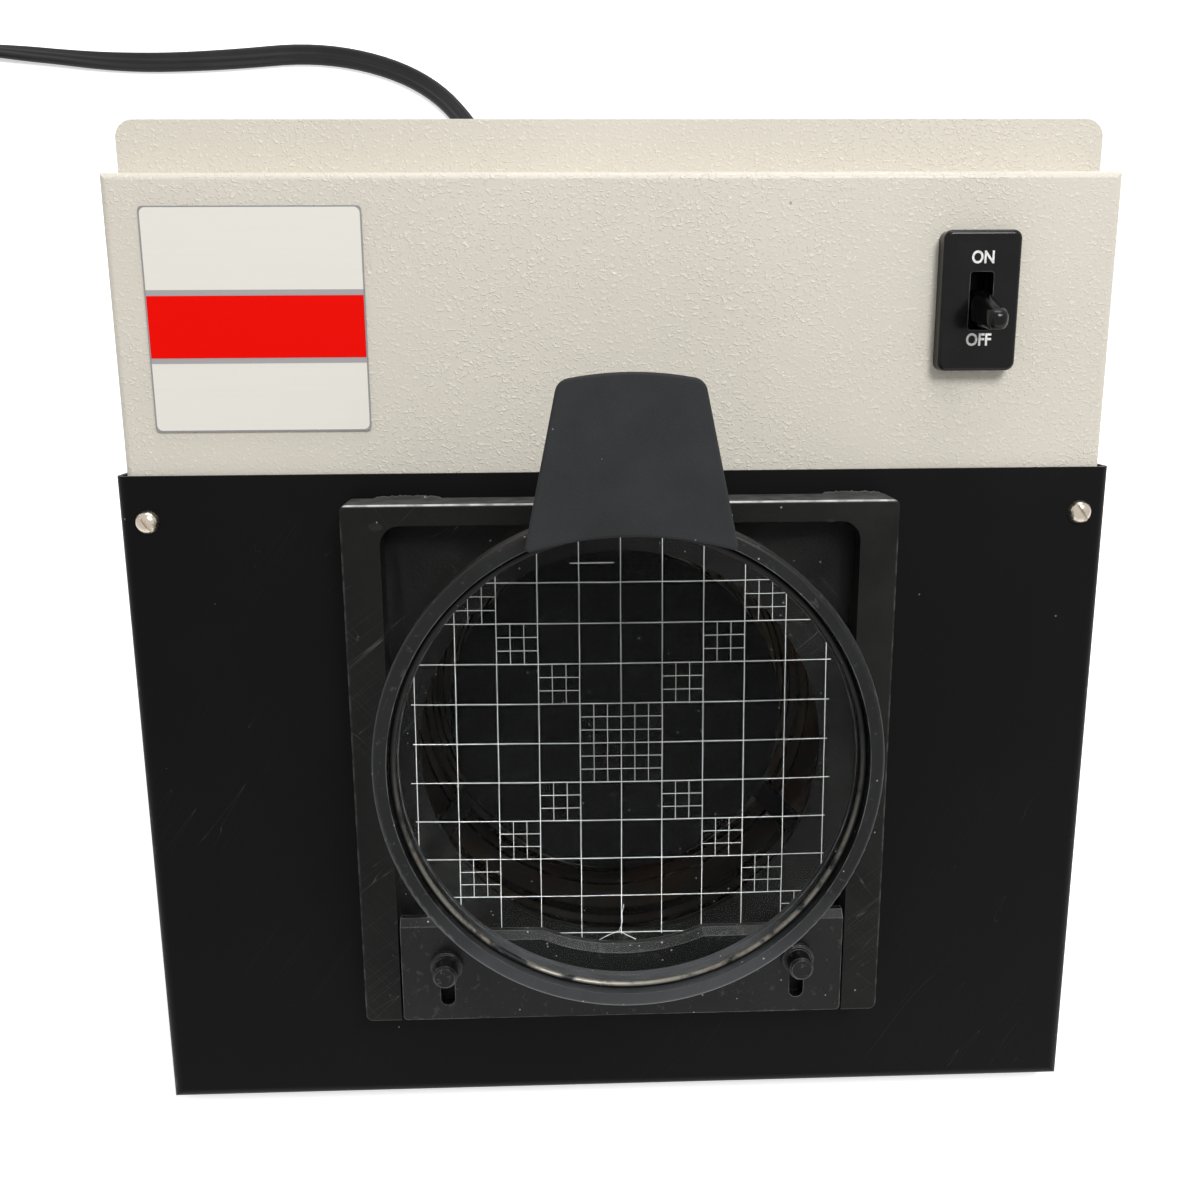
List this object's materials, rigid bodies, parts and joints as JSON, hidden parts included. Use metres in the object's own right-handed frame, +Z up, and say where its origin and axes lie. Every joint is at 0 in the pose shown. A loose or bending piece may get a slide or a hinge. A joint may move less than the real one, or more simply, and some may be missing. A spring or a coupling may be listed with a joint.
{
  "type": "colony counter",
  "caption": "Bench colony counter: wedge housing with a lit sloping stage, ruled glass guide plate, round magnifier on a sliding foot, shade tab and toggle switch.",
  "frame": {"origin": "middle of the instrument's footprint, on the bench under its feet", "axes": "+X along the width, to the operator's right; -Y towards the operator; +Z up. The front face leans back 45 degrees."},
  "size_m": [0.551, 0.5171, 0.1917],
  "materials": {
    "beige_enamel": "semi-gloss hammered enamel",
    "black_enamel": "satin enamel",
    "plated_steel": "zinc-plated sheet",
    "rubber": "matt rubber",
    "nickel": "nickel plate",
    "plate_metal": "printed brushed sheet",
    "gloss_black": "gloss phenolic",
    "black_moulding": "satin moulding",
    "tab_plastic": "fine-grained matt moulding",
    "thumbscrew_black": "satin",
    "clear_glass": "polished",
    "bulb_glass": "frosted",
    "spun_aluminium": "spun, satin",
    "socket_brown": "phenolic",
    "lead_insulation": "vinyl",
    "cord_black": "vinyl jacket",
    "brass": "drawn brass"
  },
  "bodies": {
    "root": {"body_shell": "beige_enamel", "front_cover": "black_enamel", "rear_cover": "black_enamel", "base_plate": "plated_steel", "rubber_feet": "rubber", "foot_screws": "nickel", "cover_screws": "nickel", "rear_screws": "nickel", "nameplate": "plate_metal", "switch_bezel": "gloss_black", "switch_body": "gloss_black", "stage_plate": "black_moulding", "stage_screws": "nickel", "guide_plate": "clear_glass", "reflector": "spun_aluminium", "dark_field_stop": "black_enamel", "lamp_socket": "socket_brown", "lamp_bulb": "bulb_glass", "lamp_bracket": "plated_steel", "terminal_block": "socket_brown", "internal_leads": "lead_insulation", "strain_relief": "cord_black", "power_cord": "cord_black", "cord_coil": "cord_black", "cord_tail": "cord_black", "plug_body": "cord_black", "plug_pins": "brass"},
    "magnifier": {"magnifier_frame": "black_moulding", "magnifier_lens": "clear_glass", "snap_ring": "nickel", "shade_tab": "tab_plastic"},
    "toggle": {"toggle_lever": "gloss_black"},
    "thumbscrew_left": {"thumbscrew_left": "thumbscrew_black"},
    "thumbscrew_right": {"thumbscrew_right": "thumbscrew_black"}
  },
  "joints": [
    {"name": "magnifier_slide", "type": "slide", "parent": "root", "child": "magnifier", "axis": [0, 0.7071, 0.7071], "range_m": [0, 0.01]},
    {"name": "toggle_hinge", "type": "hinge", "parent": "root", "child": "toggle", "pos_m": [0.0894, 0.05922, 0.1623], "axis": [-1, 0, 0], "range_deg": [0, 25]},
    {"name": "thumbscrew_left_turn", "type": "hinge", "parent": "root", "child": "thumbscrew_left", "pos_m": [-0.0472, -0.07499, 0.05284], "axis": [0, -0.7071, 0.7071], "range_deg": [0, 360]},
    {"name": "thumbscrew_right_turn", "type": "hinge", "parent": "root", "child": "thumbscrew_right", "pos_m": [0.0472, -0.07499, 0.05284], "axis": [0, -0.7071, 0.7071], "range_deg": [0, 360]}
  ]
}
